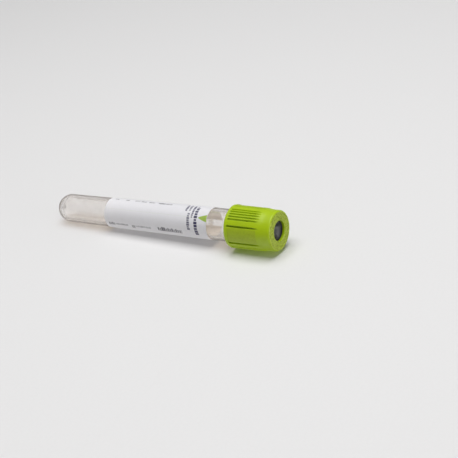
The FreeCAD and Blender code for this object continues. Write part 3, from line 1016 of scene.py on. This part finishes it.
# partly dust bloom, partly painted sheen: the dish is lightened in colour
bloom_and_sheen = calc(tree, "MULTIPLY", soft_step(tree, noise(tree, 0.3 / MM, 4.0), 0.35, 0.6), in_dish)
tree.links.new(blend(tree, bloom_and_sheen, RUBBER_BLACK, RUBBER_BLOOM_AND_SHEEN), shader.inputs["Base Color"])
add_marks(tree, shader, roughness=0.34, amount=0.12)
grain = moulded_grain(tree, cell_mm=0.35, waviness=0.5)
add_bump(tree, shader, grain, strength=0.5, depth_mm=0.03)
rubber_stopper.data.materials.append(rubber)
print("materials:", [material.name for material in bpy.data.materials])

# %% [markdown]
# ## Hand the pieces to the frame
# Each piece moves with one body: the tube and its label together, and the cap with the stopper in it, which
# are pulled off the tube as one. Each takes the place of its plain node, which is hidden.

# %% Attach the pieces to their bodies and hide the plain nodes
for piece, node, body, finish in (
    (tube_wall, "tube", "tube_body", "clear_plastic"),
    (wrap_label, "label", "tube_body", "label_paper"),
    (rubber_stopper, "stopper", "closure", "stopper_rubber"),
    (ribbed_cap, "safety_cap", "closure", "cap_plastic"),
):
    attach(piece, body)
    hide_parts(node)
    print(piece.name, "takes the place of", node, "with", len(piece.data.polygons), "faces")

# %% [markdown]
# ## The table, the ground and the light
# The main view shows the tube lying on a pale table, touching it with its round bottom and with the band of
# the cap. The model itself stands on its cap, so the table is a plane tilted to lie against it. It takes the
# part's shadow, but seen from below it is clear, because it would otherwise hide the part from the other
# sides, and soft light passes it, so that those sides aren't dark. There the part stands on a ground plane
# that only the camera sees, only from above and only near the part.

# %% Set the table against the tube and the ground under the cap
TABLE_TURN = 44.523      # direction of the table's upper side, from the front towards +X, in degrees
TABLE_SIZE = 3.0
GROUND_FADE = 0.16       # radius where the ground has faded away, in metres
GROUND_WHOLE = 0.03      # radius up to which it is whole
TABLE_WHITE = (0.70, 0.695, 0.695, 1)
GROUND_WHITE = (0.84, 0.84, 0.84, 1)
SPECK_SHADE = 0.985      # brightness of the darker specks in a pale surface

turn = math.radians(TABLE_TURN)
tilt = math.asin((RIM_RADIUS - BOTTOM_RADIUS) / (outer_centre - RIM_HEIGHT + RIM_ROUNDING))
table_up = Vector((math.sin(turn) * math.cos(tilt), -math.cos(turn) * math.cos(tilt), -math.sin(tilt)))
table_place = Vector((0, 0, outer_centre * MM)) - table_up * BOTTOM_RADIUS * MM


def pale_surface(name, colour, camera_only):
    """A pale surface that shows only from above and lets soft light through, on request only for the camera."""
    material, tree, shader = new_material(name, {"Roughness": 0.7, "Specular IOR Level": 0.2})
    shade = soft_step(tree, noise(tree, 0.9 / MM, 3.0), 0.3, 0.8)
    darker = tuple(SPECK_SHADE * channel for channel in colour[:3]) + (1,)
    tree.links.new(blend(tree, shade, colour, darker), shader.inputs["Base Color"])
    clear = tree.nodes.new("ShaderNodeBsdfTransparent")
    unseen = on_rays(tree, "Shadow", "Diffuse")
    if camera_only:
        camera_ray = tree.nodes.new("ShaderNodeLightPath").outputs["Is Camera Ray"]
        faded = soft_step(tree, distance_from_axis(tree), GROUND_WHOLE, GROUND_FADE)
        unseen = calc(tree, "MAXIMUM", calc(tree, "SUBTRACT", 1.0, camera_ray), faded)
    hidden = calc(tree, "MAXIMUM", unseen, tree.nodes.new("ShaderNodeNewGeometry").outputs["Backfacing"])
    show(tree, mix_shaders(tree, hidden, shader, clear))
    return material


def add_plane(name, place, up, material):
    """A large plane with its upper side along a direction."""
    turn = up.to_track_quat("Z", "Y").to_euler()
    bpy.ops.object.select_all(action="DESELECT")
    bpy.ops.mesh.primitive_plane_add(size=TABLE_SIZE, location=place, rotation=turn)
    plane = bpy.context.object
    plane.name = name
    plane.data.materials.append(material)
    return plane


table = add_plane("table", table_place, table_up, pale_surface("pale table", TABLE_WHITE, False))
ground = add_plane("ground", (0, 0, 0), Vector((0, 0, 1)), pale_surface("pale ground", GROUND_WHITE, True))
print("table faces", [round(v, 4) for v in table_up], "at mm", [round(v / MM, 2) for v in table_place])

# %% [markdown]
# The light is a plain studio set: one large soft lamp above the table, a weak one beyond the cap, a
# wide one from below and in front in place of the light that a white table throws back, one beyond the round
# bottom that lights the ground, and an even pale surround. The lamps are placed by how the tube lies: "to the
# cap", "up" from the table and "away" from the viewer. The camera doesn't see the lamps themselves.

# %% Lamps and surround
LAMPS = [   # name, metres to the cap, up and away, size in metres, watts
    ("key lamp", 0.05, 0.95, 0.0, 0.8, 10.2),
    ("side lamp", 1.0, 0.15, -0.1, 0.5, 2.6),
    ("under lamp", 0.0, -0.67, -0.67, 1.0, 3.6),
    ("end lamp", -1.0, -0.45, 0.0, 0.8, 6.5),
]
SURROUND = 0.22          # strength of the world as light
BACKDROP = 0.74          # and as it is seen

to_cap = (Vector((0, 0, -1)) - table_up * table_up.dot(Vector((0, 0, -1)))).normalized()
away = table_up.cross(to_cap)
tube_middle = Vector((0, 0, TIP_HEIGHT / 2 * MM))


def place_object(name, data, place, turn):
    """Put a lamp or camera into the scene."""
    holder = bpy.data.objects.new(name, data)
    bpy.context.scene.collection.objects.link(holder)
    holder.location = place
    holder.rotation_euler = turn
    return holder


def add_lamp(name, cap_wise, upwards, backwards, size, power):
    """A soft square lamp that points at the middle of the tube."""
    lamp = bpy.data.lights.new(name, "AREA")
    lamp.shape = "SQUARE"
    lamp.size = size
    lamp.energy = power
    offset = to_cap * cap_wise + table_up * upwards + away * backwards
    holder = place_object(name, lamp, tube_middle + offset, offset.to_track_quat("Z", "Y").to_euler())
    holder.visible_camera = False
    holder.visible_transmission = False


for settings in LAMPS:
    add_lamp(*settings)

world = bpy.data.worlds.new("surround")
bpy.context.scene.world = world
world.use_nodes = True
tree = world.node_tree
seen = on_rays(tree, "Camera", "Transmission")
strength = calc(tree, "MULTIPLY_ADD", seen, BACKDROP - SURROUND, SURROUND)
background = tree.nodes["Background"]
background.inputs["Color"].default_value = (1.0, 1.0, 1.0, 1)
tree.links.new(strength, background.inputs["Strength"])
print("to the cap", [round(v, 3) for v in to_cap], "away", [round(v, 3) for v in away])

# %% [markdown]
# ## The camera
# The camera looks along the tube from beyond its cap and a little above the table, so that the cap is nearest
# and its end face shows. A long lens keeps the tube's sides almost parallel.

# %% Place the camera
CAMERA_PLACE = Vector((-104.585, -413.551, -246.168)) * MM
CAMERA_RIGHT = Vector((0.2378, 0.4865, -0.8407)).normalized()
CAMERA_VIEW = Vector((0.2047, 0.8210, 0.5330)).normalized()
LENS_LENGTH = 102.18     # mm, before a sensor of the next width
SENSOR_WIDTH = 36.0

camera_back = -CAMERA_VIEW
camera_up = camera_back.cross(CAMERA_RIGHT).normalized()
camera_right = camera_up.cross(camera_back)
lens_data = bpy.data.cameras.new("camera")
lens_data.sensor_width = SENSOR_WIDTH
lens_data.lens = LENS_LENGTH
lens_data.clip_start = 0.01
lens_data.clip_end = 20.0
camera_turn = Matrix((camera_right, camera_up, camera_back)).transposed().to_euler()
camera = place_object("camera", lens_data, CAMERA_PLACE, camera_turn)
bpy.context.scene.camera = camera
bpy.context.scene.view_settings.view_transform = "Standard"
print("camera at mm", [round(v / MM, 1) for v in camera.location])
